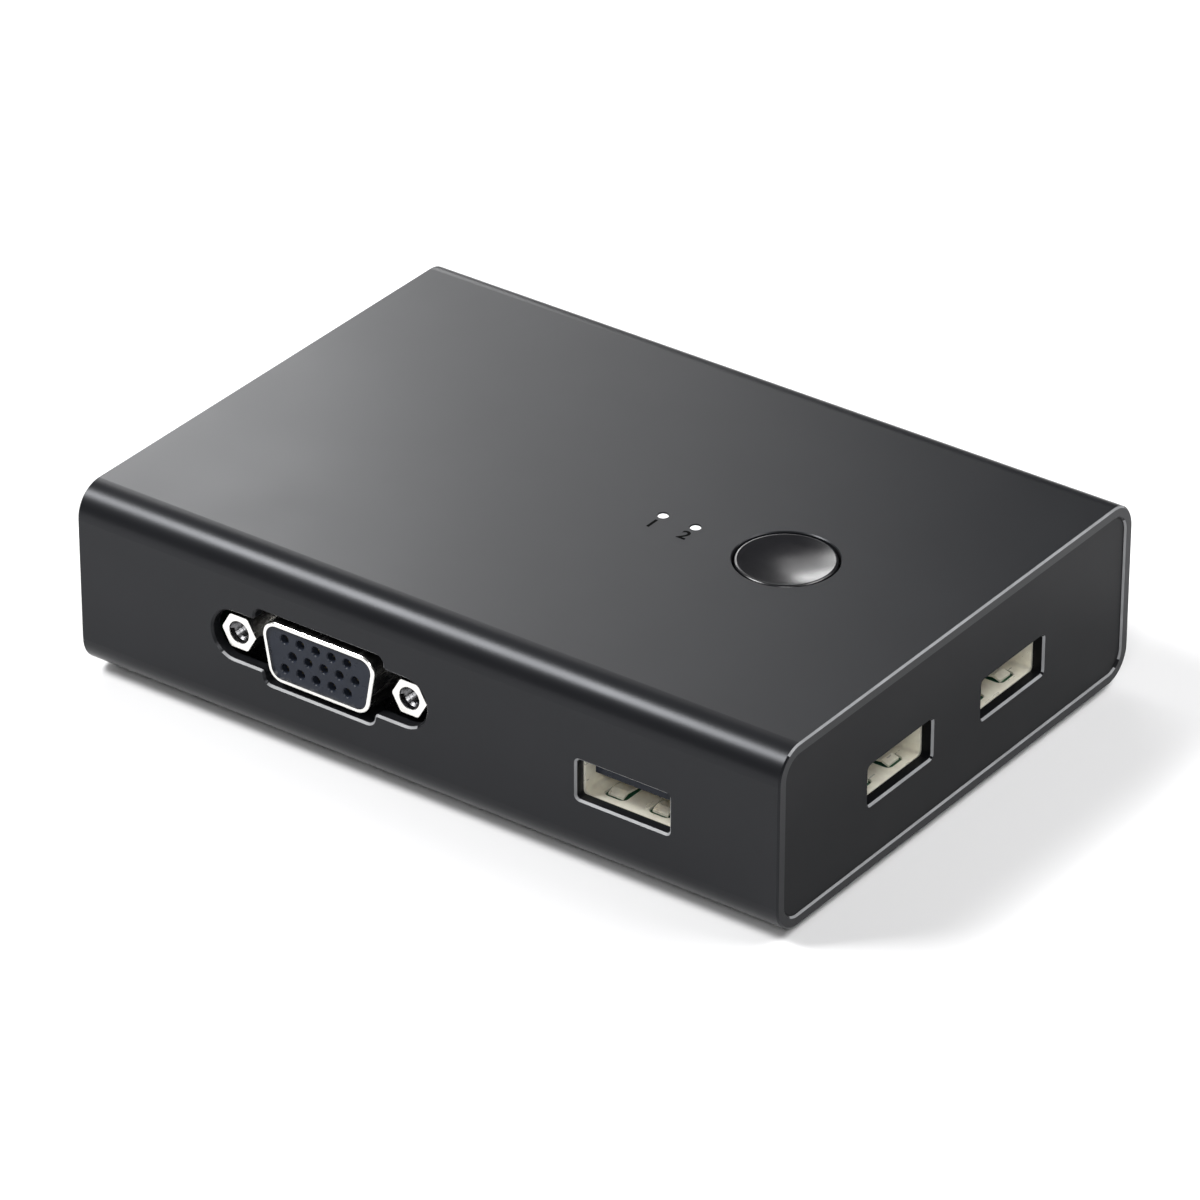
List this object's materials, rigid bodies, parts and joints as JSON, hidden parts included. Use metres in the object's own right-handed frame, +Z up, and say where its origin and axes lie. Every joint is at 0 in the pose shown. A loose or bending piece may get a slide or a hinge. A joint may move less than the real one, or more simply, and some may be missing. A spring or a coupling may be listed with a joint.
{
  "type": "kvm switch",
  "caption": "Low black desktop box that switches one screen, keyboard and mouse between computers, with VGA and USB sockets, a dished round select button and two indicator lights.",
  "frame": {"origin": "centre of the footprint, on the surface the feet stand on", "axes": "+X along the long front towards the end with two USB sockets, +Y from the front (screen socket) to the back, +Z up"},
  "size_m": [0.1008, 0.0724, 0.0252],
  "materials": {
    "case_black": "fine satin texture, black",
    "gloss_black": "polished black",
    "cover_black": "fine matt texture, black",
    "rubber_black": "matt",
    "label_silver": "satin film, blank",
    "nickel": "bright nickel plating",
    "screw_steel": "black zinc plating",
    "contact_gold": "thin gold plating",
    "insulator_grey": "moulded, slight sheen",
    "insulator_white": "moulded, slight sheen",
    "board_green": "solder mask",
    "chip_black": "moulded epoxy",
    "can_aluminium": "bare drawn can",
    "chip_ceramic": "fired ceramic",
    "chip_resist": "glazed",
    "light_clear": "clear acrylic",
    "led_white": "cast resin"
  },
  "bodies": {
    "housing": {"upper_shell": "case_black", "bottom_cover": "cover_black", "left_end_panel": "case_black", "right_end_panel": "case_black", "rubber_feet": "rubber_black", "rating_label": "label_silver", "case_screws": "screw_steel", "board_screws": "screw_steel", "circuit_board": "board_green", "switch_body": "chip_black", "switch_cover": "nickel", "switch_dome": "nickel", "switch_legs": "nickel", "video_switch_chip": "chip_black", "usb_switch_chip": "chip_black", "usb_hub_chip": "chip_black", "clock_crystal": "nickel", "voltage_regulator": "chip_black", "electrolytic_capacitors": "can_aluminium", "chip_resistors": "chip_resist", "chip_capacitors": "chip_ceramic", "light_pipe_1": "light_clear", "status_led_1": "led_white", "light_pipe_2": "light_clear", "status_led_2": "led_white", "screen_vga_shell": "nickel", "screen_vga_insulator": "insulator_grey", "screen_vga_contacts": "contact_gold", "screen_vga_brackets": "nickel", "screen_vga_jackscrews": "nickel", "computer_vga_1_shell": "nickel", "computer_vga_1_insulator": "insulator_grey", "computer_vga_1_contacts": "contact_gold", "computer_vga_1_brackets": "nickel", "computer_vga_1_jackscrews": "nickel", "computer_vga_2_shell": "nickel", "computer_vga_2_insulator": "insulator_grey", "computer_vga_2_contacts": "contact_gold", "computer_vga_2_brackets": "nickel", "computer_vga_2_jackscrews": "nickel", "front_usb_shell": "nickel", "front_usb_contacts": "contact_gold", "front_usb_insulator": "insulator_grey", "side_usb_1_shell": "nickel", "side_usb_1_contacts": "contact_gold", "side_usb_1_insulator": "insulator_grey", "side_usb_2_shell": "nickel", "side_usb_2_contacts": "contact_gold", "side_usb_2_insulator": "insulator_grey", "computer_usb_1_shell": "nickel", "computer_usb_1_contacts": "contact_gold", "computer_usb_1_insulator": "insulator_grey", "computer_usb_2_shell": "nickel", "computer_usb_2_contacts": "contact_gold", "computer_usb_2_insulator": "insulator_grey"},
    "button": {"select_button": "gloss_black", "switch_plunger": "insulator_white"}
  },
  "joints": [
    {"name": "button_press", "type": "slide", "parent": "housing", "child": "button", "axis": [0, 0, -1], "range_m": [0, 0.0005], "stiffness_N_per_m": 3000, "springref_m": -0.0002, "deforming": ["switch_dome"]}
  ]
}
